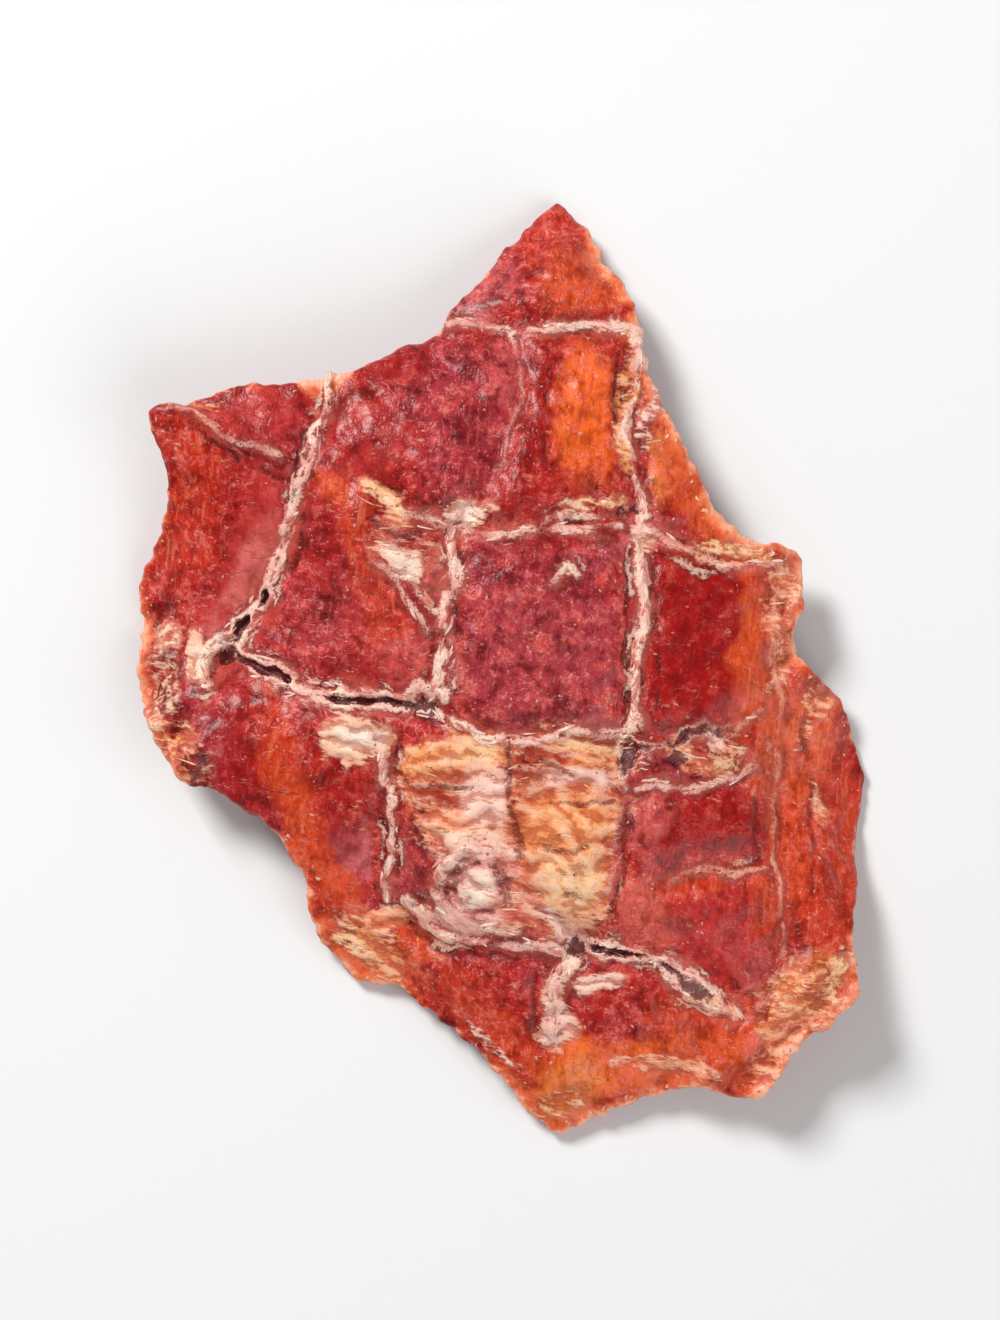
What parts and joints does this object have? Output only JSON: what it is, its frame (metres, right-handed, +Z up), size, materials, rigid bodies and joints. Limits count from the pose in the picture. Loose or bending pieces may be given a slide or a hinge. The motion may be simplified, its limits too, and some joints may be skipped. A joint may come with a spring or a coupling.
{
  "type": "chicken fillet dog treat",
  "caption": "Thin, arched slice of air-dried chicken fillet with a torn, curled rim and the sunken net marks of a drying rack on its upper side; it lies loose.",
  "frame": {"origin": "middle of the slice's box seen from above, on the surface that the slice lies on", "axes": "+X to the slice's right with its pointed end away from the viewer, +Y along the slice to its pointed end, +Z up through its thickness"},
  "size_m": [0.0506, 0.0654, 0.0096],
  "materials": {
    "dried_meat": "satin"
  },
  "bodies": {
    "root": {"chicken_fillet_treat": "dried_meat"}
  },
  "joints": []
}
